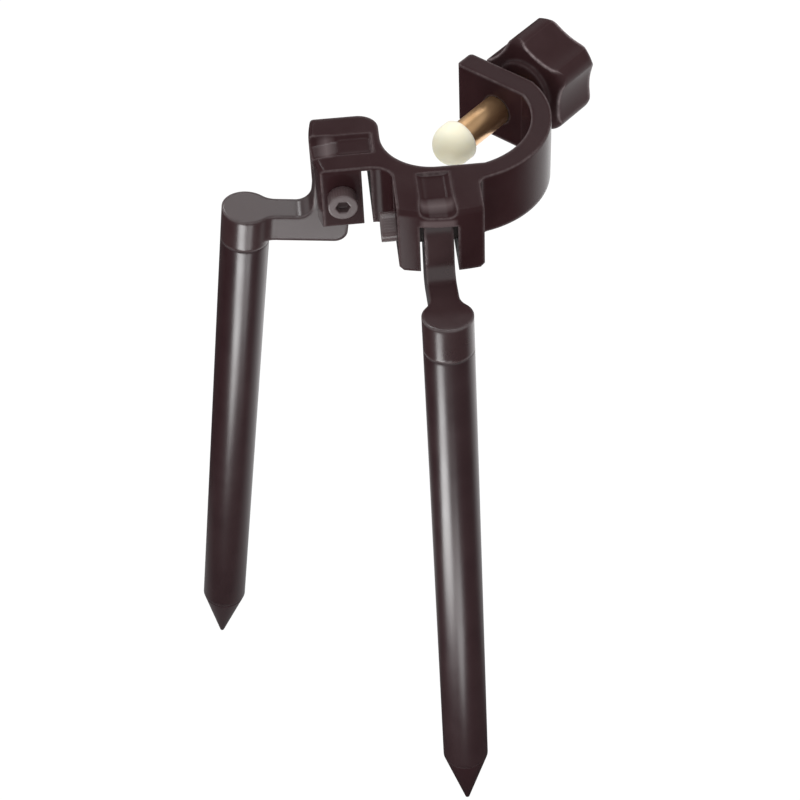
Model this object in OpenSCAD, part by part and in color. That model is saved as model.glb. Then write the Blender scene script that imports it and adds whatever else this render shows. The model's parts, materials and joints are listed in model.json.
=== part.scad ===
// Small bipod for a prism pole: a hooked clamp with a V seat, a nylon-tipped thumbscrew and two folding legs.
// The pole runs along +Z, the legs stand towards -Y and the thumbscrew comes in along -Y.
// The origin is the centre of the pole opening at mid height, and all sizes are in millimetres.

/* [Clamp ring] */
// Height of the ring, the screw flange and the cheeks of the lugs
ring_h = 13.2; // [12.4:0.1:14]
// Outside radius of the round side of the ring
ring_r = 18.75; // [18.4:0.05:19.2]
// Thickness of the ring's wall
ring_wall = 3.85; // [3.6:0.05:4.1]
// Distance from the outside of the ring in to the flats of the V seat
seat_depth = 4.55; // [4.3:0.05:4.8]
// Radius that rounds the bottom of the V seat
seat_round = 10; // [8:0.25:11]
// Wall between a seat flat and the relief slit behind it
seat_wall = 2.45; // [2.2:0.05:2.7]

/* [Screw flange] */
// Distance from the outside of the ring in to the flange's face
flange_inset = 5.15; // [4.8:0.05:5.5]
// Thickness of the flange
flange_t = 4.4; // [4:0.1:4.8]
// How far the flange reaches past the screw on the mouth side
flange_reach = 9.8; // [8.8:0.1:10.8]
// Radius of the flange's free upright corners
flange_round = 0.8; // [0.4:0.1:1.2]

/* [Lugs] */
// Distance from the pole axis to the middle plane of each lug
lug_offset = 5.45; // [5.2:0.05:5.8]
// Thickness of the cheek on the side of the other leg
inner_cheek = 3.9; // [3.65:0.05:4.15]
// Thickness of the cheek away from the other leg
outer_cheek = 4.85; // [4.55:0.05:5.15]
// Distance from the pivot to the end of a lug
lug_nose = 5.3; // [4.8:0.05:5.8]
// Radius of the crowned end of a lug, seen from above
lug_crown = 32; // [26:1:40]
// Distance of the crown's middle from the middle of the slot, towards the outer cheek
crown_shift = 2.5; // [1.5:0.1:3.5]
// Depth of the lugs below the ring
lug_drop = 0.8; // [0.5:0.1:1.1]
// Width of the relief slit between the ring and the cheeks
slit_w = 1.65; // [1.4:0.05:1.9]
// Height of the slit's top above the pivot
slit_top = 5.9; // [5.4:0.05:6]
// Width of the slot that takes the tongue of a leg
slot_w = 7; // [6.8:0.05:7.3]
// Height of the slot's inner ceiling above the pivot
slot_ceiling = 4.3; // [4.1:0.05:4.5]
// Height of the lip over the tongue above the pivot
lip_height = 3.2; // [2.9:0.05:3.5]
// Room between the eye of a tongue and the slot's round ceiling
eye_room = 0.25; // [0.15:0.05:0.3]
// Width of the rim between the seat and the hollow on top of a lug
hollow_rim = 1.6; // [1.3:0.05:1.9]
// Depth of the level part of the hollow
hollow_depth = 0.6; // [0.4:0.05:0.7]
// Length of the hollow's sloping outer part
ramp_len = 5.2; // [4.4:0.1:6]
// Further depth of the hollow at the end of the lug
ramp_drop = 0.8; // [0.5:0.05:0.9]
// Radius along the bottom edges of the hollow
hollow_round = 1.8; // [1.7:0.1:2.4]
// Radius of the lugs' top outer edges
cheek_round = 0.8; // [0.5:0.1:1.2]
// Radius of the inside corner between the two lugs
corner_fillet = 3.5; // [3:0.1:3.7]
// Radius where the ring runs into the outer cheek of the right lug
root_fillet = 2.2; // [1.8:0.1:2.6]
// Radius of the end of the hook at the mouth
hook_round = 4; // [3:0.1:4.4]

/* [Pivots] */
// Diameter of the pivot screws
pivot_d = 3; // [2.8:0.1:3.2]
// Distance from the pole axis to a pivot, along the leg
pivot_reach = 22.2; // [22:0.05:22.4]
// Diameter of the pivot screw's head
bolt_head_d = 5.5; // [5.2:0.1:5.8]
// Height of the pivot screw's head
bolt_head_h = 2.9; // [2.6:0.1:3.2]
// Width across the flats of the head's hexagon socket
socket_w = 2.5; // [2:0.1:2.6]
// Depth of the hexagon socket
socket_depth = 1.6; // [1.2:0.1:1.8]
// Depth of the pivot screw's end below the outer cheek's face
bolt_inset = 0.5; // [0.3:0.1:0.8]
// Radial clearance between a pivot screw and its tongue
pivot_clear = 0.06; // [0.03:0.01:0.09]
// Radial clearance of the screw in the inner cheek and the washers
bolt_hole_clear = 0.15; // [0.1:0.05:0.25]
// Diameter of the friction washers
washer_d = 6.6; // [6:0.1:7]
// Clearance between a tongue and its washers, on each side
washer_clear = 0.05; // [0.03:0.01:0.09]

/* [Legs] */
// Diameter of a leg
leg_d = 9.525; // [9.2:0.025:9.9]
// Length of a leg from the top of its head to its point
leg_len = 129.6; // [110:0.1:150]
// Angle at which the legs stand out from the pole
splay = 7.8; // [5:0.1:12]
// Thickness of the tongue
tongue_t = 5.4; // [5.2:0.05:5.5]
// Radius of the tongue's eye
eye_r = 4.33; // [4.2:0.01:4.38]
// Distance of the eye's centre outside the pivot
eye_shift = 0.42; // [0.3:0.02:0.46]
// Distance from the pivot to the back of the tongue
tongue_back = 2.4; // [2.2:0.1:3]
// Radius of the tongue's lower back corner
tongue_round = 2.5; // [2:0.1:3]
// Distance from the pivot out to the axis of the leg
arm_reach = 17.15; // [16.8:0.05:17.6]
// Distance from the pivot down to the top of the arm
arm_drop = 8.9; // [8.6:0.1:9.4]
// Height of the arm
arm_h = 5.8; // [5.4:0.1:6.2]
// Radius between the tongue and the top of the arm
arm_fillet = 3; // [2.4:0.1:3.4]
// Radius of the flare from the arm into the head
neck_fillet = 4; // [3:0.1:4.6]
// Height of the round head
head_h = 7.2; // [6.8:0.1:7.8]
// Wall of the leg tube
tube_wall = 1.2; // [1:0.05:1.6]
// Length of the spigots that are pressed into the tube
spigot_len = 8; // [6:0.5:12]
// Length of the conical point
point_len = 14.3; // [12:0.1:17]
// Diameter of the blunt end of the point
point_end_d = 0.9; // [0.6:0.1:1.4]

/* [Thumbscrew] */
// Diameter of the brass screw
screw_d = 6; // [5.8:0.05:6.2]
// Radial clearance of the screw in the flange
screw_clear = 0.05; // [0.03:0.01:0.09]
// Diameter of the nylon tip
tip_d = 8.3; // [8:0.1:8.8]
// Length of the nylon tip
tip_len = 5.9; // [5.5:0.1:6.5]
// How far the tip stands past the centre of the opening
tip_past = 3.9; // [3.4:0.1:4.4]
// Diameter of the screw's neck inside the tip
neck_d = 4; // [3.6:0.1:4.2]
// Length of the screw's neck
neck_len = 3.6; // [3.2:0.1:3.8]
// Radial clearance between the neck and the tip
neck_clear = 0.05; // [0.03:0.01:0.09]
// Clearance between the screw's ends and the tip
tip_gap = 0.3; // [0.2:0.05:0.4]

/* [Knob] */
// Distance from the centre of the knob to the end of a lobe
knob_r = 10.4; // [10:0.1:10.8]
// Length of the knob
knob_h = 10.3; // [9.8:0.1:11]
// Gap between the flange and the knob
knob_gap = 4.7; // [4.4:0.1:5]
// Number of lobes
lobes = 5; // [5, 6]
// Radius of the end of a lobe
lobe_r = 3; // [2.6:0.1:3.2]
// Depth of the hollow between two lobes
lobe_hollow = 0.7; // [0.5:0.05:0.8]
// Angle of the first lobe
lobe_turn = 39; // [0:1:71]
// Radius of the knob's front and back edges
knob_edge = 1.4; // [1:0.1:1.8]
// Diameter of the hub on the front of the knob
hub_d = 12; // [11:0.1:13]
// Height of the hub
hub_h = 1.2; // [1:0.1:1.6]
// Depth of the screw in the knob
screw_seat = 8; // [6.5:0.1:8.5]

/* [Hidden] */
$fn = 72;
// Overlap that joins solids and lets cuts break through
eps = 0.02;
far = 60;

// Levels and places that follow from the sizes above
ring_top = ring_h / 2;
lug_turn = -45;
bore_r = ring_r - ring_wall;
seat_flat = ring_r - seat_depth;
flange_face = ring_r - flange_inset;
lug_end = pivot_reach + lug_nose;
slit_near = seat_flat + seat_wall;
slit_far = slit_near + slit_w;
lug_w = inner_cheek + slot_w + outer_cheek;
mouth_face = outer_cheek + slot_w / 2 - lug_offset;
cheek_face = inner_cheek + slot_w / 2 + lug_offset;
hollow_start = seat_flat + hollow_rim;
ramp_start = lug_end - ramp_len;
ramp_angle = atan(ramp_drop / ramp_len);
flange_back = flange_face + flange_t;
leg_r = leg_d / 2;
tube_r = leg_r - tube_wall;
tongue_front = eye_shift + eye_r;
eye_reach = tongue_front + eye_room;
arm_low = arm_drop + arm_h;
seam_z = arm_drop + head_h;
cone_z = arm_drop + leg_len - point_len;
flare_dx = sqrt(pow(leg_r + neck_fillet, 2) - pow(tongue_t / 2 + neck_fillet, 2));
flare_w = (tongue_t / 2 + neck_fillet) * leg_r / (leg_r + neck_fillet);
washer_t = slot_w / 2 - tongue_t / 2 - washer_clear;
tip_r = tip_d / 2;
tip_back = tip_len - tip_past;
knob_front = flange_back + knob_gap;
lobe_place = knob_r - lobe_r;
half_step = 180 / lobes;
flat_half = lobe_place * sin(half_step);
flat_place = lobe_place * cos(half_step) + lobe_r;
hollow_r = (pow(flat_half, 2) + pow(lobe_hollow, 2)) / (2 * lobe_hollow);

// Colours as they look on the object
body_black = [0.16, 0.13, 0.13];
leg_black = [0.2, 0.17, 0.17];
knob_black = [0.14, 0.12, 0.12];
brass = [0.8, 0.62, 0.3];
nylon = [0.9, 0.88, 0.78];
steel_dark = [0.3, 0.28, 0.28];
washer_grey = [0.55, 0.53, 0.5];

// Frame of the V seat: x runs along the right leg and -y along the left one
module seat_frame() {
  rotate([0, 0, lug_turn]) children();
}

// In the seat's frame, side 1 is the right leg's and side -1 its mirror image
module lug_side(side) {
  if (side < 0)
    mirror([1, 1, 0]) children();
  else
    children();
}

// Frame of a lug: x runs out along the leg from the pole axis, -y towards the other leg
module lug_frame(side) {
  seat_frame() lug_side(side) children();
}

// Frame of a pivot: as the lug's, with its origin on the pivot in the tongue's middle plane
module pivot_frame(side) {
  lug_frame(side) translate([pivot_reach, -lug_offset, 0]) children();
}

// Frame of a leg: as the pivot's, swung out so that the leg hangs straight down in it
module leg_frame(side) {
  pivot_frame(side) rotate([0, -splay, 0]) children();
}

// Places children so that their z axis runs along the thumbscrew towards the knob
module along_screw(y) {
  translate([0, y, 0]) rotate([-90, 0, 0]) children();
}

// Places children so that their z axis runs along a pivot, away from the other leg
module along_pivot(y) {
  translate([0, y, 0]) rotate([-90, 0, 0]) children();
}

// The material in a square corner outside a rounding arc
module corner_piece(r) {
  difference() {
    square(r);
    translate([r, r]) circle(r);
  }
}

// Turns the seat's frame back, so that the thumbscrew lies along y
module screw_frame() {
  rotate([0, 0, -lug_turn]) children();
}

// A block that fills everything beyond a plane at x in the frame of its caller
module beyond(x) {
  translate([x, -far, -far]) cube(2 * far);
}

// Round side of the pole opening, stopped at the V seat, its flats and the flange
module bore_space() {
  difference() {
    cylinder(r = bore_r, h = far, center = true);
    translate([0, -far, -far]) cube([far, far, 2 * far]);
    lug_side(1) beyond(seat_flat);
    lug_side(-1) beyond(seat_flat);
    screw_frame() rotate([0, 0, 90]) beyond(flange_face);
  }
}

// V seat between the two lugs, with a rounded bottom
module seat_space() {
  linear_extrude(far, center = true) difference() {
    translate([-1, -seat_flat]) square(seat_flat + 1);
    translate([seat_flat, -seat_flat]) mirror([1, 0]) corner_piece(seat_round);
  }
}

// Ring with its back flattened to the flange and its wall cut away at the mouth
module ring() {
  difference() {
    cylinder(r = ring_r, h = 2 * ring_h, center = true);
    screw_frame() rotate([0, 0, 90]) beyond(flange_back);
    screw_frame() translate([-far, 0, -far]) cube([far, far, 2 * far]);
    lug_side(-1) translate([0, mouth_face, -far]) cube([far, far, 2 * far]);
  }
}

// Plan of the screw flange with rounded free corners
module flange_plan() {
  difference() {
    translate([-flange_reach, flange_face]) square([flange_reach + screw_d / 2, flange_t]);
    translate([-flange_reach, flange_face]) corner_piece(flange_round);
    translate([-flange_reach, flange_back]) mirror([0, 1]) corner_piece(flange_round);
  }
}

// Plan of the fillet where the ring runs into the right lug's outer cheek
module root_plan() {
  reach = ring_r + root_fillet;
  side = mouth_face + root_fillet;
  out = sqrt(pow(reach, 2) - pow(side, 2));
  difference() {
    translate([bore_r + 1, 0]) square([out - bore_r - 1, side * ring_r / reach]);
    translate([out, side]) circle(root_fillet);
  }
}

// One lug, from the wall of the seat to its crowned end, with a keel below the ring
module lug_block() {
  keel = -ring_top - lug_drop;
  intersection() {
    union() {
      translate([seat_flat - 1, -cheek_face, -ring_top]) cube([slit_far - seat_flat + 2, lug_w, ring_h + 1]);
      translate([slit_far, 0, 0]) rotate([90, 0, 90]) linear_extrude(lug_end - slit_far) polygon([
        [-cheek_face, ring_top + 1], [-cheek_face, -ring_top], [-cheek_face + lug_drop, keel],
        [mouth_face - lug_drop, keel], [mouth_face, -ring_top], [mouth_face, ring_top + 1]
      ]);
    }
    translate([lug_end - lug_crown, crown_shift - lug_offset, keel - 1]) rotate_extrude() difference() {
      square([lug_crown, ring_top - keel + 1]);
      translate([lug_crown, ring_top - keel + 1]) rotate(180) corner_piece(cheek_round);
    }
  }
}

// Section across the hollow on top of a lug, with its bottom edges rounded
module hollow_plan() {
  difference() {
    translate([-slot_w / 2, 0]) square([slot_w, ring_h]);
    for (s = [0, 1]) mirror([s, 0]) translate([-slot_w / 2, 0]) corner_piece(hollow_round);
  }
}

// Hollow on top of a lug: level near the seat and sloping down to the end
module hollow_space() {
  floor_z = ring_top - hollow_depth;
  translate([hollow_start, -lug_offset, floor_z]) rotate([90, 0, 90])
    linear_extrude(ramp_start - hollow_start + 2) hollow_plan();
  translate([ramp_start, -lug_offset, floor_z]) rotate([0, ramp_angle, 0]) translate([-2, 0, 0])
    rotate([90, 0, 90]) linear_extrude(2 * ramp_len + 2) hollow_plan();
}

// Room for the tongue: a slot from below with a round ceiling over the eye
module tongue_space() {
  low = -lug_offset - slot_w / 2;
  translate([slit_near, low, -far]) cube([pivot_reach - slit_near, slot_w, far + slot_ceiling]);
  translate([slit_near, low, -far]) cube([far, slot_w, far + lip_height]);
  translate([pivot_reach, -lug_offset, 0]) rotate([90, 0, 0]) cylinder(r = eye_reach, h = slot_w, center = true);
}

// Relief slit through a cheek, from the slot outwards: outer 1 is the cheek away from the other leg
module relief_slit(outer) {
  start = outer > 0 ? slot_w / 2 - lug_offset : -far;
  reach = outer > 0 ? far : far - lug_offset - slot_w / 2;
  translate([slit_near, start, -far]) cube([slit_w, reach, far + slit_top]);
}

// Hole for a pivot screw: free in the inner cheek and a thread in the outer one
module pivot_hole() {
  along_pivot(-lug_w) cylinder(d = pivot_d + 2 * bolt_hole_clear, h = lug_w);
  along_pivot(-eps) cylinder(d = pivot_d, h = lug_w);
}

// Ring, flange and their fillets, cut to the height of the ring
module hook() {
  intersection() {
    cube([2 * far, 2 * far, ring_h], center = true);
    union() {
      ring();
      linear_extrude(2 * ring_h, center = true) {
        screw_frame() flange_plan();
        root_plan();
        translate([cheek_face, -cheek_face]) mirror([0, 1]) corner_piece(corner_fillet);
      }
    }
  }
}

module clamp_body() {
  color(body_black) seat_frame() difference() {
    union() {
      hook();
      for (side = [-1, 1]) lug_side(side) lug_block();
    }
    bore_space();
    seat_space();
    for (side = [-1, 1]) lug_side(side) {
      tongue_space();
      hollow_space();
      relief_slit(0);
      translate([pivot_reach, -lug_offset, 0]) pivot_hole();
    }
    lug_side(-1) relief_slit(1);
    lug_side(-1) translate([seat_flat, mouth_face, 0]) mirror([0, 1, 0])
      linear_extrude(far, center = true) corner_piece(hook_round);
    screw_frame() along_screw(0) cylinder(d = screw_d + 2 * screw_clear, h = far);
  }
}

// Threaded rod with a thinner neck that turns in the nylon tip
module clamp_screw() {
  shoulder = tip_back + tip_gap;
  color(brass) union() {
    along_screw(shoulder) cylinder(d = screw_d, h = knob_front + screw_seat - shoulder);
    along_screw(shoulder - neck_len) cylinder(d = neck_d, h = neck_len + eps);
  }
}

// Domed nylon cap that bears on the pole
module screw_tip() {
  depth = neck_len;
  color(nylon) difference() {
    intersection() {
      union() {
        along_screw(tip_r - tip_past) sphere(tip_r);
        along_screw(tip_r - tip_past) cylinder(r = tip_r, h = tip_len - tip_r);
      }
      along_screw(-tip_past - 1) cylinder(r = tip_d, h = tip_len + 1);
    }
    along_screw(tip_back - depth) cylinder(d = neck_d + 2 * neck_clear, h = depth + 1);
  }
}

// Outline of the knob: round lobes joined by shallow hollows
module knob_plan() {
  difference() {
    union() {
      for (k = [0 : lobes - 1]) rotate(lobe_turn + k * 360 / lobes) {
        translate([lobe_place, 0]) circle(lobe_r);
        rotate(half_step) translate([0, -flat_half]) square([flat_place, 2 * flat_half]);
        polygon([[0, 0], lobe_place * [cos(half_step * 2), sin(half_step * 2)], [lobe_place, 0]]);
      }
    }
    for (k = [0 : lobes - 1]) rotate(lobe_turn + half_step + k * 360 / lobes)
      translate([flat_place - lobe_hollow + hollow_r, 0]) circle(hollow_r);
  }
}

module knob() {
  color(knob_black) difference() {
    union() {
      intersection() {
        along_screw(knob_front) linear_extrude(knob_h) knob_plan();
        along_screw(knob_front) rotate_extrude() difference() {
          square([knob_r, knob_h]);
          translate([knob_r, 0]) mirror([1, 0]) corner_piece(knob_edge);
          translate([knob_r, knob_h]) rotate(180) corner_piece(knob_edge);
        }
      }
      along_screw(knob_front - hub_h) cylinder(d = hub_d, h = hub_h + eps);
    }
    along_screw(knob_front - hub_h - 1) cylinder(d = screw_d, h = hub_h + 1 + screw_seat);
  }
}

// Side view of the tongue and arm, with x outwards and y up
module tongue_outline() {
  difference() {
    union() {
      translate([eye_shift, 0]) circle(eye_r);
      translate([-tongue_back, -arm_low]) square([tongue_back + tongue_front, arm_low]);
      translate([-tongue_back, -arm_low]) square([tongue_back + arm_reach, arm_h]);
      translate([tongue_front, -arm_drop]) corner_piece(arm_fillet);
    }
    translate([-tongue_back, -arm_low]) corner_piece(tongue_round);
    circle(d = pivot_d + 2 * pivot_clear);
  }
}

// Plan of the flare from the arm into the round head
module neck_plan() {
  difference() {
    translate([arm_reach - flare_dx, -flare_w]) square([flare_dx, 2 * flare_w]);
    for (s = [-1, 1]) translate([arm_reach - flare_dx, s * (tongue_t / 2 + neck_fillet)]) circle(neck_fillet);
  }
}

// Tongue, arm, round head and the spigot that goes into the tube
module leg_head(side) {
  color(leg_black) leg_frame(side) union() {
    rotate([90, 0, 0]) linear_extrude(tongue_t, center = true) tongue_outline();
    translate([0, 0, -arm_low]) linear_extrude(arm_h) neck_plan();
    translate([arm_reach, 0, -seam_z]) cylinder(r = leg_r, h = head_h);
    translate([arm_reach, 0, -seam_z - spigot_len]) cylinder(r = tube_r, h = spigot_len + eps);
  }
}

module leg_tube(side) {
  color(leg_black) leg_frame(side) translate([arm_reach, 0, -cone_z]) difference() {
    cylinder(r = leg_r, h = cone_z - seam_z);
    translate([0, 0, -1]) cylinder(r = tube_r, h = cone_z - seam_z + 2);
  }
}

module leg_point(side) {
  color(leg_black) leg_frame(side) translate([arm_reach, 0, -cone_z]) union() {
    translate([0, 0, -point_len]) cylinder(d1 = point_end_d, d2 = leg_d, h = point_len);
    translate([0, 0, -eps]) cylinder(r = tube_r, h = spigot_len + eps);
  }
}

// Socket head screw, put in from the side of the other leg
module pivot_bolt(side) {
  seat_y = -slot_w / 2 - inner_cheek;
  color(steel_dark) pivot_frame(side) difference() {
    union() {
      along_pivot(seat_y - bolt_head_h) cylinder(d = bolt_head_d, h = bolt_head_h);
      along_pivot(seat_y - eps) cylinder(d = pivot_d, h = lug_w - bolt_inset + eps);
    }
    along_pivot(seat_y - bolt_head_h - 1)
      cylinder(d = socket_w / cos(30), h = socket_depth + 1, $fn = 6);
  }
}

// Friction washer on one side of the tongue: outer 1 is the side away from the other leg
module washer(side, outer) {
  start = outer > 0 ? slot_w / 2 - washer_t : -slot_w / 2;
  color(washer_grey) pivot_frame(side) along_pivot(start) difference() {
    cylinder(d = washer_d, h = washer_t);
    translate([0, 0, -1]) cylinder(d = pivot_d + 2 * bolt_hole_clear, h = washer_t + 2);
  }
}

clamp_body();
clamp_screw();
screw_tip();
knob();
leg_head(-1);  // left_leg_head
leg_tube(-1);  // left_leg_tube
leg_point(-1);  // left_leg_point
pivot_bolt(-1);  // left_pivot_bolt
washer(-1, 0);  // left_inner_washer
washer(-1, 1);  // left_outer_washer
leg_head(1);  // right_leg_head
leg_tube(1);  // right_leg_tube
leg_point(1);  // right_leg_point
pivot_bolt(1);  // right_pivot_bolt
washer(1, 0);  // right_inner_washer
washer(1, 1);  // right_outer_washer
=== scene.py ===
"""Looks of a prism pole bipod: a hooked clamp, a nylon-tipped thumbscrew and two folding legs.

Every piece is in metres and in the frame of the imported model: +Z runs up along the pole,
+Y along the thumbscrew, and the legs stand towards -Y.
"""

import json
import logging
import math
from abc import ABC, abstractmethod
from dataclasses import dataclass, field, replace
from enum import Enum

import bmesh
import bpy
from mathutils import Matrix, Vector

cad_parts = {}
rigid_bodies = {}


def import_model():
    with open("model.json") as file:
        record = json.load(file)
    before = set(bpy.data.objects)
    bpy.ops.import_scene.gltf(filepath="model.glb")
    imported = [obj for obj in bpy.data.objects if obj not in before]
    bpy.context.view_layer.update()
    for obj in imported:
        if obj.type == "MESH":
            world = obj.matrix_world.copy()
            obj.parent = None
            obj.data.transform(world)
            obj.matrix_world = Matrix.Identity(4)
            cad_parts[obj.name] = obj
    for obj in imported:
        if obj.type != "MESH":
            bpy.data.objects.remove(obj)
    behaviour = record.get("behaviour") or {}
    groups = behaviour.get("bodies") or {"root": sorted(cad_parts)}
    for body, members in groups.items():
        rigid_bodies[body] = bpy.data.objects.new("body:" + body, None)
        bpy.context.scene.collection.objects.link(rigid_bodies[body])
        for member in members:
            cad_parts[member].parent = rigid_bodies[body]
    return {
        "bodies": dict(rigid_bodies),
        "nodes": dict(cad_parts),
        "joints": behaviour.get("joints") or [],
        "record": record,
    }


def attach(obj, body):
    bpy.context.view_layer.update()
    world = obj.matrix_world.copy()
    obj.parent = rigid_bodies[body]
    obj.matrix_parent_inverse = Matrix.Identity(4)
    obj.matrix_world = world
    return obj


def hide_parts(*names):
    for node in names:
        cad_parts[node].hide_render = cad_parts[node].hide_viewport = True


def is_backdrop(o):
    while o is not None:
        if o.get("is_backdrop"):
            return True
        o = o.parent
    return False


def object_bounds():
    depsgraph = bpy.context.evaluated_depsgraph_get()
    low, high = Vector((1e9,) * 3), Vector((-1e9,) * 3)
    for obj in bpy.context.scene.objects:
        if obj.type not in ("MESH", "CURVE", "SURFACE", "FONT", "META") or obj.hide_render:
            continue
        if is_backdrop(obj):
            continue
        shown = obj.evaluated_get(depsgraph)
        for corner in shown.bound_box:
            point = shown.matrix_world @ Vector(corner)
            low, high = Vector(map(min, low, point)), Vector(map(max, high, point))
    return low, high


Colour = tuple[float, float, float]
Triple = tuple[float, float, float]
Span = tuple[float, float]
Socket = bpy.types.NodeSocket

LOG = logging.getLogger("bipod")
BEVEL_SAMPLES = 8
NOISE_ROUGHNESS = 0.6
WHITE = (1.0, 1.0, 1.0, 1.0)


class Side(Enum):
    """The two legs, with the sign of X on which each one stands."""

    LEFT = -1
    RIGHT = 1

    @property
    def prefix(self) -> str:
        """The first word of the names of this side's nodes."""
        return self.name.lower()


class Wiring:
    """Nodes and links of one shader tree."""

    def __init__(self, tree: bpy.types.NodeTree) -> None:
        """Start an empty tree.

        Args:
            tree: The shader tree to fill.
        """
        self.tree = tree
        tree.nodes.clear()

    def add(
        self, kind: str, values: dict[str, object] | None = None, **settings: object
    ) -> bpy.types.Node:
        """Add one node.

        Args:
            kind: Blender's name of the node's type.
            values: Input values by the input's name.
            **settings: Properties of the node.

        Returns:
            The new node.
        """
        node = self.tree.nodes.new(kind)
        for name, setting in settings.items():
            setattr(node, name, setting)
        for name, value in (values or {}).items():
            node.inputs[name].default_value = value
        return node

    def link(self, start: Socket, end: Socket) -> None:
        """Join an output to an input."""
        self.tree.links.new(start, end)

    def feed(self, slot: Socket, term: float | tuple[float, ...] | Socket) -> None:
        """Give an input a plain value, or link it to the socket that carries the value.

        Args:
            slot: The input.
            term: A value, or an output.
        """
        if isinstance(term, Socket):
            self.link(term, slot)
        else:
            slot.default_value = term

    def place(self, scale: Triple = (1.0, 1.0, 1.0)) -> Socket:
        """Object coordinates in metres, stretched by scale.

        Args:
            scale: Factor on each axis.

        Returns:
            The socket that carries the coordinates.
        """
        place = self.add("ShaderNodeTexCoord").outputs["Object"]
        if scale == (1.0, 1.0, 1.0):
            return place
        mapping = self.add("ShaderNodeMapping", {"Scale": scale})
        self.link(place, mapping.inputs["Vector"])
        return mapping.outputs["Vector"]

    def axes(self, place: Socket) -> tuple[Socket, Socket, Socket]:
        """Take coordinates apart.

        Args:
            place: Coordinates to read.

        Returns:
            The sockets that carry X, Y and Z.
        """
        node = self.add("ShaderNodeSeparateXYZ")
        self.link(place, node.inputs["Vector"])
        return node.outputs["X"], node.outputs["Y"], node.outputs["Z"]

    def noise(self, place: Socket, scale: float, detail: float) -> Socket:
        """Noise between 0 and 1.

        Args:
            place: Coordinates to read.
            scale: Cells per metre.
            detail: Octaves of finer noise.

        Returns:
            The socket that carries the noise.
        """
        sizes = {"Scale": scale, "Detail": detail, "Roughness": NOISE_ROUGHNESS}
        node = self.add("ShaderNodeTexNoise", sizes)
        self.link(place, node.inputs["Vector"])
        return node.outputs["Fac"]

    def spread(self, start: Socket, span: Span, to: Span = (0.0, 1.0)) -> Socket:
        """Map a value from one range to another, and hold it there.

        Args:
            start: The value to map.
            span: Both ends of its range.
            to: Results at these ends.

        Returns:
            The socket that carries the result.
        """
        ends = {"From Min": span[0], "From Max": span[1], "To Min": to[0], "To Max": to[1]}
        node = self.add("ShaderNodeMapRange", ends)
        self.link(start, node.inputs["Value"])
        return node.outputs["Result"]

    def blend(self, share: Socket, first: Colour | Socket, second: Colour) -> Socket:
        """Mix two colours.

        Args:
            share: How much of the second colour, from 0 to 1.
            first: A colour, or the socket that carries it.
            second: The other colour.

        Returns:
            The socket that carries the mix.
        """
        node = self.add("ShaderNodeMix", data_type="RGBA")
        self.link(share, node.inputs["Factor"])
        start, end = (slot for slot in node.inputs if slot.type == "RGBA")
        self.feed(start, (*first, 1.0) if isinstance(first, tuple) else first)
        end.default_value = (*second, 1.0)
        return next(slot for slot in node.outputs if slot.type == "RGBA")

    def choose(self, share: Socket, first: float | Socket, second: float | Socket) -> Socket:
        """Mix two numbers.

        Args:
            share: How much of the second number, from 0 to 1.
            first: A number, or the socket that carries it.
            second: The other number, or its socket.

        Returns:
            The socket that carries the mix.
        """
        node = self.add("ShaderNodeMix", data_type="FLOAT")
        self.link(share, node.inputs["Factor"])
        self.feed(node.inputs["A"], first)
        self.feed(node.inputs["B"], second)
        return node.outputs["Result"]

    def maths(self, operation: str, *terms: float | Socket) -> Socket:
        """Work out one sum.

        Args:
            operation: Blender's name of the operation.
            *terms: Numbers, or the sockets that carry them.

        Returns:
            The socket that carries the result.
        """
        node = self.add("ShaderNodeMath", operation=operation)
        for slot, term in zip(node.inputs, terms):
            self.feed(slot, term)
        return node.outputs["Value"]

    def likeness(self, first: Socket, second: Triple | Socket) -> Socket:
        """How far two directions agree, as their dot product.

        Args:
            first: The socket that carries a direction.
            second: Another direction, or its socket.

        Returns:
            The socket that carries 1 where they are the same.
        """
        node = self.add("ShaderNodeVectorMath", operation="DOT_PRODUCT")
        self.link(first, node.inputs[0])
        self.feed(node.inputs[1], second)
        return node.outputs["Value"]

    def soft_normal(self, radius: float) -> Socket:
        """The surface's normal, rounded at its edges.

        Args:
            radius: Radius of the rounding.

        Returns:
            The socket that carries the normal.
        """
        node = self.add("ShaderNodeBevel", {"Radius": radius}, samples=BEVEL_SAMPLES)
        return node.outputs["Normal"]

    def bump(self, height: Socket, depth: float, normal: Socket | None = None) -> Socket:
        """A bumpy normal.

        Args:
            height: Height from 0 to 1.
            depth: Height in metres that 1 stands for.
            normal: The normal that the bumps stand on, if it isn't the surface's own.

        Returns:
            The socket that carries the normal.
        """
        node = self.add("ShaderNodeBump", {"Strength": 1.0, "Distance": depth})
        self.link(height, node.inputs["Height"])
        if normal is not None:
            self.link(normal, node.inputs["Normal"])
        return node.outputs["Normal"]


@dataclass(frozen=True)
class Finish(ABC):
    """One finish of the object, as a node material."""

    name: str

    def make(self) -> bpy.types.Material:
        """Build the material.

        Returns:
            The finished material.
        """
        material = bpy.data.materials.new(self.name)
        material.use_nodes = True
        wiring = Wiring(material.node_tree)
        shader = wiring.add("ShaderNodeBsdfPrincipled")
        out = wiring.add("ShaderNodeOutputMaterial")
        wiring.link(shader.outputs["BSDF"], out.inputs["Surface"])
        self.wire(wiring, shader)
        return material

    @abstractmethod
    def wire(self, wiring: Wiring, shader: bpy.types.Node) -> None:
        """Set and link the shader's inputs.

        Args:
            wiring: The material's tree.
            shader: Its Principled shader.
        """


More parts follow.
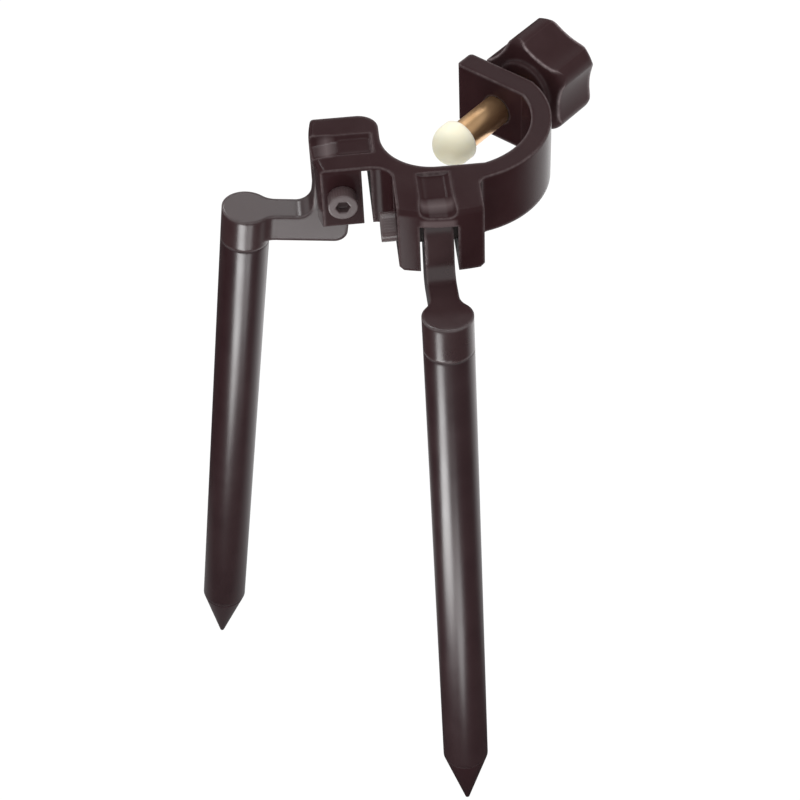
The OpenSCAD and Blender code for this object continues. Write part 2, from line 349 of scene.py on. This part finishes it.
@dataclass(frozen=True)
class BlackCoat(Finish):
    """Satin black coat on metal or plastic: fine grain, patchy gloss and softly lightened edges,
    partly paint wear and partly painted highlight.
    """

    dark: Colour = (0.0255, 0.0100, 0.0112)
    light: Colour = (0.0302, 0.0132, 0.0144)
    # Lighter colour of paint wear and of painted highlights on rounded edges; the clamp also takes
    # it as a painted highlight on its ramps and lips.
    worn: Colour = (0.150, 0.115, 0.117)
    rough: Span = (0.20, 0.25)
    patches_per_m: float = 140.0
    patch_span: Span = (0.3, 0.7)
    gloss_span: Span = (0.25, 0.75)
    grain_per_m: float = 3200.0
    grain_depth: float = 0.000004
    scuffs_per_m: float = 900.0
    scuff_span: Span = (0.35, 0.65)
    scuff_share: Span = (0.5, 1.0)
    edge_radius: float = 0.0010
    edge_span: Span = (0.985, 0.8)
    # How far edges lighten, as paint wear and painted highlight.
    edge_wear: float = 0.7
    shine: float = 0.08

    def wire(self, wiring: Wiring, shader: bpy.types.Node) -> None:
        """Set and link the shader's inputs.

        Args:
            wiring: The material's tree.
            shader: Its Principled shader.
        """
        place = wiring.place()
        patches = wiring.noise(place, self.patches_per_m, detail=2.0)
        grain = wiring.noise(place, self.grain_per_m, detail=4.0)
        scuffs = wiring.noise(place, self.scuffs_per_m, detail=3.0)
        soft = wiring.soft_normal(self.edge_radius)
        own = wiring.add("ShaderNodeNewGeometry").outputs["Normal"]
        # Painted highlight and paint wear: where the rounded normal leaves the true one, at edges,
        # the base colour is lightened.
        edge = wiring.spread(wiring.likeness(soft, own), self.edge_span, (0.0, self.edge_wear))
        edge_wear_and_highlight_mask = wiring.maths("MULTIPLY", edge, self.exposed(wiring, place))
        patchy = wiring.spread(scuffs, self.scuff_span, self.scuff_share)
        patchy_wear_and_highlight = wiring.maths("MULTIPLY", edge_wear_and_highlight_mask, patchy)
        # The clamp's painted highlight on ramps and lips joins the edge mark here.
        wear_and_painted_highlight = wiring.maths("MAXIMUM", patchy_wear_and_highlight, self.rubbed(wiring, place))
        coat = wiring.blend(wiring.spread(patches, self.patch_span), self.dark, self.light)
        gloss = wiring.spread(patches, self.gloss_span, self.rough)
        wiring.link(wiring.blend(wear_and_painted_highlight, coat, self.worn), shader.inputs["Base Color"])
        wiring.link(gloss, shader.inputs["Roughness"])
        wiring.link(wiring.bump(grain, self.grain_depth, soft), shader.inputs["Normal"])
        shader.inputs["Specular IOR Level"].default_value = self.shine

    def rubbed(self, wiring: Wiring, place: Socket) -> float | Socket:
        """How much painted highlight lightens the coat away from its edges; a plain coat has none.
        """
        return 0.0

    def exposed(self, wiring: Wiring, place: Socket) -> float | Socket:
        """How much an edge takes the lighter colour of paint wear and painted highlight; on a plain
        coat all edges do.
        """
        return 1.0


@dataclass(frozen=True)
class LugCoat(BlackCoat):
    """Coat of the clamp, with a painted highlight on the ramp and the lip over each tongue."""

    lug_middle: float = 0.00545
    rubbed_side: Span = (0.0026, 0.0036)
    ramp: Span = (0.0224, 0.0262)
    lip: Span = (0.0031, 0.0044)
    lip_fade: float = 0.0006
    under_fade: float = 0.0002
    rub: float = 0.55

    def rubbed(self, wiring: Wiring, place: Socket) -> float | Socket:
        """How much painted highlight lightens the end of each lug's hollow.

        Args:
            wiring: The material's tree.
            place: Object coordinates.

        Returns:
            The socket that carries the share, from 0 to 1.
        """
        x, y, z = wiring.axes(place)
        out = wiring.maths("ABSOLUTE", x)
        diagonal = math.sqrt(0.5)
        reach = wiring.maths("MULTIPLY", wiring.maths("SUBTRACT", out, y), diagonal)
        across = wiring.maths("MULTIPLY", wiring.maths("ADD", out, y), diagonal)
        aside = wiring.maths("ABSOLUTE", wiring.maths("ADD", across, self.lug_middle))
        # Painted highlight: the middle of the ramp and the lower part of the lip's face are
        # lightened towards the edge colour.
        start, end = self.ramp
        low, high = self.lip
        middle = (start + end) / 2
        rising = wiring.spread(reach, (start, middle), (0.0, self.rub))
        falling = wiring.spread(reach, (middle, end), (self.rub, 0.0))
        ramp = wiring.maths("MINIMUM", rising, falling)
        front = wiring.spread(reach, (end, end + self.lip_fade), (0.0, self.rub))
        below = wiring.spread(z, (high, high + self.lip_fade), (1.0, 0.0))
        above = wiring.spread(z, (low - self.under_fade, low))
        inside = wiring.spread(aside, self.rubbed_side, (1.0, 0.0))
        both = wiring.maths("MAXIMUM", ramp, wiring.maths("MULTIPLY", front, below))
        return wiring.maths("MULTIPLY", wiring.maths("MULTIPLY", both, inside), above)


@dataclass(frozen=True)
class KnobCoat(BlackCoat):
    """Moulded black of the knob, with edges lightened on its lobes as paint wear and painted
    highlight, but not on the hub that faces the flange.
    """

    hub_rim: Span = (0.0072, 0.0078)
    hub_share: float = 0.1

    def exposed(self, wiring: Wiring, place: Socket) -> float | Socket:
        """How much an edge takes the lighter colour of paint wear and painted highlight, little on
        the hub.

        Args:
            wiring: The material's tree.
            place: Object coordinates.

        Returns:
            The socket that carries the share, from 0 to 1.
        """
        x, _, z = wiring.axes(place)
        squares = (wiring.maths("MULTIPLY", axis, axis) for axis in (x, z))
        radius = wiring.maths("SQRT", wiring.maths("ADD", *squares))
        return wiring.spread(radius, self.hub_rim, (self.hub_share, 1.0))


@dataclass(frozen=True)
class Brass(Finish):
    """Turned brass with fine rings round the rod and a little brown stain."""

    pale: Colour = (0.88, 0.56, 0.30)
    brown: Colour = (0.56, 0.31, 0.12)
    metallic: float = 0.92
    rough: Span = (0.30, 0.38)
    gloss_span: Span = (0.3, 0.7)
    stains_per_m: float = 260.0
    stain_span: Span = (0.45, 0.9)
    stain_most: float = 0.5
    rings_per_m: Triple = (120.0, 1500.0, 120.0)
    ring_depth: float = 0.000001

    def wire(self, wiring: Wiring, shader: bpy.types.Node) -> None:
        """Set and link the shader's inputs.

        Args:
            wiring: The material's tree.
            shader: Its Principled shader.
        """
        rings = wiring.noise(wiring.place(self.rings_per_m), scale=1.0, detail=2.0)
        stain = wiring.noise(wiring.place(), self.stains_per_m, detail=1.0)
        stained = wiring.spread(stain, self.stain_span, (0.0, self.stain_most))
        gloss = wiring.spread(stain, self.gloss_span, self.rough)
        wiring.link(wiring.blend(stained, self.pale, self.brown), shader.inputs["Base Color"])
        wiring.link(gloss, shader.inputs["Roughness"])
        wiring.link(wiring.bump(rings, self.ring_depth), shader.inputs["Normal"])
        shader.inputs["Metallic"].default_value = self.metallic


@dataclass(frozen=True)
class Nylon(Finish):
    """Turned cream nylon, a little translucent."""

    cream: Colour = (0.98, 0.89, 0.68)
    shade: Colour = (0.95, 0.84, 0.60)
    rough: Span = (0.42, 0.52)
    gloss_span: Span = (0.3, 0.7)
    clouds_per_m: float = 220.0
    cloud_span: Span = (0.35, 0.75)
    rings_per_m: Triple = (300.0, 6000.0, 300.0)
    ring_depth: float = 0.000006
    edge_radius: float = 0.0007
    translucence: float = 0.6
    scatter: Triple = (0.004, 0.0036, 0.0028)

    def wire(self, wiring: Wiring, shader: bpy.types.Node) -> None:
        """Set and link the shader's inputs.

        Args:
            wiring: The material's tree.
            shader: Its Principled shader.
        """
        cloud = wiring.noise(wiring.place(), self.clouds_per_m, detail=3.0)
        rings = wiring.noise(wiring.place(self.rings_per_m), scale=1.0, detail=2.0)
        soft = wiring.soft_normal(self.edge_radius)
        clouded = wiring.spread(cloud, self.cloud_span)
        gloss = wiring.spread(cloud, self.gloss_span, self.rough)
        wiring.link(wiring.blend(clouded, self.cream, self.shade), shader.inputs["Base Color"])
        wiring.link(gloss, shader.inputs["Roughness"])
        wiring.link(wiring.bump(rings, self.ring_depth, soft), shader.inputs["Normal"])
        shader.inputs["Subsurface Weight"].default_value = self.translucence
        shader.inputs["Subsurface Radius"].default_value = self.scatter
        shader.inputs["Subsurface Scale"].default_value = 1.0


@dataclass(frozen=True)
class FrictionDisc(Finish):
    """Matte dark fibre of the friction washers."""

    fibre: Colour = (0.060, 0.048, 0.046)
    dust: Colour = (0.090, 0.076, 0.073)
    rough: Span = (0.55, 0.75)
    gloss_span: Span = (0.3, 0.7)
    fibres_per_m: float = 2600.0
    fibre_span: Span = (0.35, 0.65)
    fibre_depth: float = 0.00001

    def wire(self, wiring: Wiring, shader: bpy.types.Node) -> None:
        """Set and link the shader's inputs.

        Args:
            wiring: The material's tree.
            shader: Its Principled shader.
        """
        strands = wiring.noise(wiring.place(), self.fibres_per_m, detail=5.0)
        dusty = wiring.spread(strands, self.fibre_span)
        gloss = wiring.spread(strands, self.gloss_span, self.rough)
        wiring.link(wiring.blend(dusty, self.fibre, self.dust), shader.inputs["Base Color"])
        wiring.link(gloss, shader.inputs["Roughness"])
        wiring.link(wiring.bump(strands, self.fibre_depth), shader.inputs["Normal"])


CASTING = LugCoat("clamp_casting", edge_span=(0.995, 0.88))
HEAD = BlackCoat(
    "leg_head_casting",
    dark=(0.032, 0.0132, 0.0146),
    light=(0.039, 0.0176, 0.0190),
    rough=(0.26, 0.32),
    shine=1.0,
)
TUBE = BlackCoat(
    "leg_tube_coat",
    dark=(0.024, 0.0085, 0.0105),
    light=(0.030, 0.0115, 0.0135),
    rough=(0.28, 0.33),
    grain_depth=0.000003,
    edge_wear=0.15,
    shine=1.0,
)
POINT = replace(TUBE, name="leg_point_coat", shine=0.25)
KNOB = KnobCoat(
    "knob_moulding",
    dark=(0.030, 0.0120, 0.0132),
    light=(0.038, 0.0170, 0.0185),
    # Light edge colour: painted highlight of the rounded rims as well as paint wear.
    worn=(0.340, 0.275, 0.280),
    rough=(0.34, 0.42),
    grain_per_m=5200.0,
    grain_depth=0.000006,
    edge_radius=0.0014,
    edge_wear=1.0,
    shine=0.12,
)
BOLT = BlackCoat(
    "black_oxide_steel",
    dark=(0.070, 0.0440, 0.0450),
    light=(0.092, 0.0620, 0.0630),
    # Light edge colour: painted highlight of the rounded head edges as well as paint wear.
    worn=(0.19, 0.155, 0.155),
    rough=(0.26, 0.34),
    edge_radius=0.0004,
    edge_wear=0.8,
    shine=0.9,
)
BRASS = Brass("turned_brass")
NYLON = Nylon("cream_nylon")
WASHER = FrictionDisc("friction_washer")


def dress(frame: dict, finish: Finish, *nodes: str) -> None:
    """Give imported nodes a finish.

    Args:
        finish: The finish to make and assign.
        *nodes: Names of the nodes.
    """
    material = finish.make()
    for name in nodes:
        for slot in frame["nodes"][name].material_slots:
            slot.link = "OBJECT"
            slot.material = material
        LOG.info("dressed %s as %s", name, finish.name)


def add_piece(name: str, mesh: bpy.types.Mesh) -> bpy.types.Object:
    """Put a finished mesh into the scene as a piece of the object.

    Args:
        name: Name of the piece.
        mesh: Its mesh, in place and with its material.

    Returns:
        The new piece.
    """
    piece = bpy.data.objects.new(name, mesh)
    bpy.context.scene.collection.objects.link(piece)
    LOG.info("built %s with %d faces", piece.name, len(mesh.polygons))
    return piece


@dataclass
class HeadKnurl:
    """Fine lengthwise ridges round the heads of the two pivot screws."""

    ridges: int = 32
    ridge_sides: int = 8
    head_radius: float = 0.00275
    head_seat: float = 0.0074
    head_height: float = 0.0029
    plain_rim: float = 0.0005
    ridge_radius: float = 0.00012
    proud: float = 0.00002
    pivot: tuple[float, float] = (0.011844, -0.0195515)

    def tree(self, material: bpy.types.Material) -> bpy.types.NodeTree:
        """Build the node tree of one ring of ridges round Z.

        Args:
            material: Finish of the ridges.

        Returns:
            The tree, with named inputs for its sizes.
        """
        tree = bpy.data.node_groups.new("head_knurl", "GeometryNodeTree")
        face = tree.interface
        for name, kind in (
            ("Ridges", "NodeSocketInt"),
            ("Ring radius", "NodeSocketFloat"),
            ("Ridge radius", "NodeSocketFloat"),
            ("Ridge length", "NodeSocketFloat"),
        ):
            face.new_socket(name, in_out="INPUT", socket_type=kind)
        face.new_socket("Geometry", in_out="OUTPUT", socket_type="NodeSocketGeometry")
        nodes, links = tree.nodes, tree.links
        start, end = nodes.new("NodeGroupInput"), nodes.new("NodeGroupOutput")
        circle = nodes.new("GeometryNodeMeshCircle")
        ridge = nodes.new("GeometryNodeMeshCylinder")
        ridge.inputs["Vertices"].default_value = self.ridge_sides
        spread = nodes.new("GeometryNodeInstanceOnPoints")
        realize = nodes.new("GeometryNodeRealizeInstances")
        finish = nodes.new("GeometryNodeSetMaterial")
        finish.inputs["Material"].default_value = material
        links.new(start.outputs["Ridges"], circle.inputs["Vertices"])
        links.new(start.outputs["Ring radius"], circle.inputs["Radius"])
        links.new(start.outputs["Ridge radius"], ridge.inputs["Radius"])
        links.new(start.outputs["Ridge length"], ridge.inputs["Depth"])
        links.new(circle.outputs["Mesh"], spread.inputs["Points"])
        links.new(ridge.outputs["Mesh"], spread.inputs["Instance"])
        links.new(spread.outputs["Instances"], realize.inputs["Geometry"])
        links.new(realize.outputs["Geometry"], finish.inputs["Geometry"])
        links.new(finish.outputs["Geometry"], end.inputs["Geometry"])
        return tree

    def ring(self, material: bpy.types.Material) -> bpy.types.Mesh:
        """Run the tree once.

        Args:
            material: Finish of the ridges.

        Returns:
            The ring of ridges as a plain mesh round Z.
        """
        carrier = bpy.data.objects.new("knurl_carrier", bpy.data.meshes.new("knurl_carrier"))
        bpy.context.scene.collection.objects.link(carrier)
        modifier = carrier.modifiers.new("knurl", "NODES")
        tree = self.tree(material)
        modifier.node_group = tree
        sizes = {
            "Ridges": self.ridges,
            "Ring radius": self.head_radius - self.ridge_radius + self.proud,
            "Ridge radius": self.ridge_radius,
            "Ridge length": self.head_height - 2 * self.plain_rim,
        }
        for socket in tree.interface.items_tree:
            if socket.in_out == "INPUT":
                modifier[socket.identifier] = sizes[socket.name]
        graph = bpy.context.evaluated_depsgraph_get()
        mesh = bpy.data.meshes.new_from_object(carrier.evaluated_get(graph))
        bpy.data.objects.remove(carrier)
        return mesh

    def place(self, side: Side) -> Matrix:
        """Where the ring goes on one pivot screw.

        Args:
            side: The leg that the screw holds.

        Returns:
            The matrix that puts the ring round the head.
        """
        outward = Vector((side.value, 1.0, 0.0)).normalized()
        middle = -(self.head_seat + self.head_height / 2)
        pivot = Vector((side.value * self.pivot[0], self.pivot[1], 0.0))
        turn = outward.to_track_quat("Z", "Y").to_matrix().to_4x4()
        return Matrix.Translation(pivot + outward * middle) @ turn

    def build(self) -> bpy.types.Object:
        """Build both rings as one piece of the clamp.

        Returns:
            The finished piece.
        """
        material = BOLT.make()
        ring = self.ring(material)
        shape = bmesh.new()
        for side in Side:
            before = set(shape.verts)
            shape.from_mesh(ring)
            new = [corner for corner in shape.verts if corner not in before]
            bmesh.ops.transform(shape, matrix=self.place(side), verts=new)
        mesh = bpy.data.meshes.new("pivot_bolt_knurl")
        shape.to_mesh(mesh)
        shape.free()
        mesh.materials.append(material)
        piece = add_piece("pivot_bolt_knurl", mesh)
        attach(piece, "clamp")
        return piece


@dataclass
class Clamp:
    """The hooked casting with its pivot screws and friction washers."""

    knurl: HeadKnurl = field(default_factory=HeadKnurl)

    def build(self, frame: dict) -> None:
        """Dress the clamp's nodes and add the ridges of its screw heads.
        """
        dress(frame, CASTING, "clamp_body")
        dress(frame, BOLT, *(f"{side.prefix}_pivot_bolt" for side in Side))
        faces = ("inner", "outer")
        dress(frame, WASHER, *(f"{side.prefix}_{face}_washer" for side in Side for face in faces))
        self.knurl.build()


@dataclass
class ThreadedScrew:
    """The brass screw: a neck, a smooth shank, and a right-hand thread in and behind the flange."""

    front: float = -0.0013
    shoulder: float = 0.0023
    end: float = 0.0307
    neck_radius: float = 0.002
    shank_radius: float = 0.003
    thread_from: float = 0.0142
    thread_to: float = 0.0250
    run_out: float = 0.0008
    pitch: float = 0.001
    groove_depth: float = 0.00055
    flat_share: float = 0.125
    rings_per_pitch: int = 16
    segments: int = 48
    sharp_from_deg: float = 75.0

    def radius(self, along: float, turn: float) -> float:
        """Radius at one place of the threaded part.

        Args:
            along: Distance along Y.
            turn: Share of a turn about +Y, from +Z.

        Returns:
            The radius, lower in the groove.
        """
        from_ends = min(along - self.thread_from, self.thread_to - along) / self.run_out
        wave = abs(2.0 * ((along / self.pitch - turn) % 1.0) - 1.0)
        groove = (wave - self.flat_share) / (1.0 - 2.0 * self.flat_share)
        share = min(max(groove, 0.0), 1.0) * min(max(from_ends, 0.0), 1.0)
        return self.shank_radius - self.groove_depth * share

    def rings(self) -> list[tuple[float, list[float]]]:
        """Cut the screw into rings.

        Returns:
            Each ring's place along Y, and its radius at every segment.
        """
        turns = [step / self.segments for step in range(self.segments)]
        neck = [self.neck_radius] * self.segments
        shank = [self.shank_radius] * self.segments
        rings = [(self.front, neck), (self.shoulder, neck), (self.shoulder, shank)]
        gap = self.pitch / self.rings_per_pitch
        for step in range(round((self.thread_to - self.thread_from) / gap) + 1):
            along = self.thread_from + step * gap
            rings.append((along, [self.radius(along, turn) for turn in turns]))
        return [*rings, (self.end, shank)]

    def mesh(self) -> bpy.types.Mesh:
        """Join the rings and close both ends.

        Returns:
            The screw as one closed mesh.
        """
        rings, count = self.rings(), self.segments
        angles = [math.tau * step / count for step in range(count)]
        corners = [
            (radius * math.sin(angle), along, radius * math.cos(angle))
            for along, radii in rings
            for angle, radius in zip(angles, radii)
        ]
        last = count * (len(rings) - 1)
        faces: list[tuple[int, ...]] = []
        for low in range(0, last, count):
            for step in range(count):
                here, there = low + step, low + (step + 1) % count
                faces.append((here, there, there + count, here + count))
        faces.append(tuple(reversed(range(count))))
        faces.append(tuple(range(last, last + count)))
        mesh = bpy.data.meshes.new("threaded_screw")
        mesh.from_pydata(corners, [], faces)
        mesh.shade_smooth()
        mesh.set_sharp_from_angle(angle=math.radians(self.sharp_from_deg))
        return mesh

    def build(self) -> bpy.types.Object:
        """Build the screw in place of its plain solid.

        Returns:
            The finished piece.
        """
        mesh = self.mesh()
        mesh.materials.append(BRASS.make())
        piece = add_piece("threaded_screw", mesh)
        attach(piece, "thumbscrew")
        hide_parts("clamp_screw")
        return piece


@dataclass
class Thumbscrew:
    """The brass screw with its knob and its nylon tip."""

    screw: ThreadedScrew = field(default_factory=ThreadedScrew)

    def build(self, frame: dict) -> None:
        """Build the screw and dress the knob and the tip.
        """
        self.screw.build()
        dress(frame, KNOB, "knob")
        dress(frame, NYLON, "screw_tip")


@dataclass
class Leg:
    """One folding leg: cast head, tube and point."""

    side: Side

    def build(self, frame: dict) -> None:
        """Dress the leg's nodes.
        """
        for finish, piece in ((HEAD, "head"), (TUBE, "tube"), (POINT, "point")):
            dress(frame, finish, f"{self.side.prefix}_leg_{piece}")


@dataclass(frozen=True)
class SoftBox:
    """One soft lamp, which faces the origin, or lies low and faces up."""

    name: str
    at: Triple
    size: tuple[float, float]
    watts: float
    faces_up: bool = False

    def build(self, low: float) -> None:
        """Hang the lamp.

        Args:
            low: Lowest point of the object, from which the height of a lamp that faces up counts.
        """
        at, aim = Vector(self.at), Vector((0.0, 0.0, 0.0))
        if self.faces_up:
            at.z += low
            aim = at + Vector((0.0, 0.0, 1.0))
        light = bpy.data.lights.new(self.name, "AREA")
        light.shape = "RECTANGLE"
        light.size, light.size_y = self.size
        light.energy = self.watts
        lamp = bpy.data.objects.new(self.name, light)
        lamp.location = at
        lamp.rotation_euler = (at - aim).to_track_quat("Z", "Y").to_euler()
        lamp.visible_camera = False
        bpy.context.scene.collection.objects.link(lamp)


LAMPS = (
    SoftBox("left_soft_box", (-0.496, 0.293, 0.554), (0.09, 0.09), 0.55),
    SoftBox("back_soft_box", (-0.288, 0.528, 0.528), (0.20, 0.20), 0.2),
    SoftBox("low_front_card", (0.029, -0.184, 0.001), (0.074, 0.125), 0.22, faces_up=True),
    SoftBox("low_side_card", (0.088, -0.107, 0.001), (0.05, 0.05), 0.028, faces_up=True),
    SoftBox("far_soft_box", (-0.468, 0.510, 0.402), (0.16, 0.16), 0.13),
    SoftBox("top_soft_box", (-0.234, 0.276, 0.712), (0.08, 0.08), 0.28),
)


@dataclass
class Floor:
    """White floor with a soft shadow; in reflections it is bright only behind, on the right."""

    radius: float = 4.0
    segments: int = 64
    glow: float = 1.04
    glow_share: float = 0.9
    grey: float = 0.85
    slant: float = -0.6
    behind: Span = (-0.045, 0.1)
    behind_glow: Span = (0.05, 1.4)
    right: Span = (-0.1, -0.05)
    right_glow: Span = (0.05, 1.0)

    def material(self) -> bpy.types.Material:
        """Mix a glow that the eye and reflections see with paint that takes the shadow.

        Returns:
            The floor's material.
        """
        material = bpy.data.materials.new("white_floor")
        material.use_nodes = True
        wiring = Wiring(material.node_tree)
        paths = wiring.add("ShaderNodeLightPath").outputs
        x, y, _ = wiring.axes(wiring.place())
        slanted = wiring.maths("MULTIPLY_ADD", x, self.slant, y)
        far = wiring.spread(slanted, self.behind, self.behind_glow)
        side = wiring.spread(x, self.right, self.right_glow)
        mirrored = wiring.maths("MULTIPLY", far, side)
        level = wiring.choose(paths["Is Glossy Ray"], self.glow, mirrored)
        glow = wiring.add("ShaderNodeEmission", {"Color": WHITE})
        wiring.link(level, glow.inputs["Strength"])
        grey = (self.grey, self.grey, self.grey, 1.0)
        paint = wiring.add("ShaderNodeBsdfDiffuse", {"Color": grey})
        seen = wiring.maths("MAXIMUM", paths["Is Camera Ray"], paths["Is Transmission Ray"])
        share = wiring.maths("MULTIPLY_ADD", seen, self.glow_share, paths["Is Glossy Ray"])
        mix = wiring.add("ShaderNodeMixShader")
        wiring.link(share, mix.inputs["Fac"])
        wiring.link(paint.outputs["BSDF"], mix.inputs[1])
        wiring.link(glow.outputs["Emission"], mix.inputs[2])
        out = wiring.add("ShaderNodeOutputMaterial")
        wiring.link(mix.outputs["Shader"], out.inputs["Surface"])
        return material

    def build(self, height: float) -> None:
        """Lay the floor.

        Args:
            height: Height of the floor.
        """
        shape = bmesh.new()
        bmesh.ops.create_circle(shape, cap_ends=True, segments=self.segments, radius=self.radius)
        bmesh.ops.translate(shape, verts=shape.verts, vec=(0.0, 0.0, height))
        mesh = bpy.data.meshes.new("floor")
        shape.to_mesh(mesh)
        shape.free()
        mesh.materials.append(self.material())
        floor = bpy.data.objects.new("floor", mesh)
        bpy.context.scene.collection.objects.link(floor)
        floor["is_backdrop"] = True


@dataclass
class Room:
    """Even light: white to the eye, dimmer in reflections, with a dark flag high behind."""

    fill: float = 1.15
    mirrored: float = 0.5
    mirrored_flag: float = 0.08
    flag_towards: Triple = (-0.467, 0.519, 0.716)
    flag_span: Span = (0.80, 0.96)

    def build(self) -> None:
        """Make the world of the scene."""
        world = bpy.data.worlds.new("studio_room")
        world.use_nodes = True
        wiring = Wiring(world.node_tree)
        paths = wiring.add("ShaderNodeLightPath").outputs
        seen = wiring.maths("MAXIMUM", paths["Is Camera Ray"], paths["Is Transmission Ray"])
        plain = wiring.spread(seen, (0.0, 1.0), (self.fill, 1.0))
        direction = wiring.add("ShaderNodeTexCoord").outputs["Generated"]
        towards = wiring.likeness(direction, self.flag_towards)
        mirrored = wiring.spread(towards, self.flag_span, (self.mirrored, self.mirrored_flag))
        strength = wiring.choose(paths["Is Glossy Ray"], plain, mirrored)
        room = wiring.add("ShaderNodeBackground", {"Color": WHITE})
        wiring.link(strength, room.inputs["Strength"])
        out = wiring.add("ShaderNodeOutputWorld")
        wiring.link(room.outputs["Background"], out.inputs["Surface"])
        bpy.context.scene.world = world


@dataclass
class Studio:
    """The room, the floor, the lamps and the camera of the photograph."""

    lens_mm: float = 89.2
    sensor_mm: float = 36.0
    clip: Span = (0.01, 20.0)
    camera_at: Triple = (0.19095, -0.23115, 0.23814)
    back: Triple = (0.4669, -0.5189, 0.7161)
    roll_deg: float = -2.99
    floor_drop: float = 0.005
    room: Room = field(default_factory=Room)
    floor: Floor = field(default_factory=Floor)

    def camera(self) -> None:
        """Stand the camera where the photograph was taken."""
        back = Vector(self.back).normalized()
        right = Vector((-back.y, back.x, 0.0)).normalized()
        up = back.cross(right)
        turn = math.radians(self.roll_deg)
        side = right * math.cos(turn) + up * math.sin(turn)
        top = up * math.cos(turn) - right * math.sin(turn)
        lens = bpy.data.cameras.new("camera")
        lens.sensor_width = self.sensor_mm
        lens.lens = self.lens_mm
        lens.clip_start, lens.clip_end = self.clip
        camera = bpy.data.objects.new("camera", lens)
        turned = Matrix((side, top, back)).transposed().to_4x4()
        camera.matrix_world = Matrix.Translation(self.camera_at) @ turned
        bpy.context.scene.collection.objects.link(camera)
        bpy.context.scene.camera = camera

    def build(self, low: float) -> None:
        """Build the whole studio.

        Args:
            low: Lowest point of the object at rest. The floor lies below it, clear of folded legs.
        """
        self.camera()
        self.room.build()
        self.floor.build(low - self.floor_drop)
        for lamp in LAMPS:
            lamp.build(low)
        bpy.context.scene.view_settings.view_transform = "Standard"


def main() -> None:
    """Build every sub-assembly and the studio."""
    logging.basicConfig(level=logging.INFO, format="%(name)s: %(message)s")
    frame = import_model()
    low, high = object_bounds()
    Clamp().build(frame)
    Thumbscrew().build(frame)
    for side in Side:
        Leg(side).build(frame)
    Studio().build(low[2])


if __name__ == "__main__":
    main()
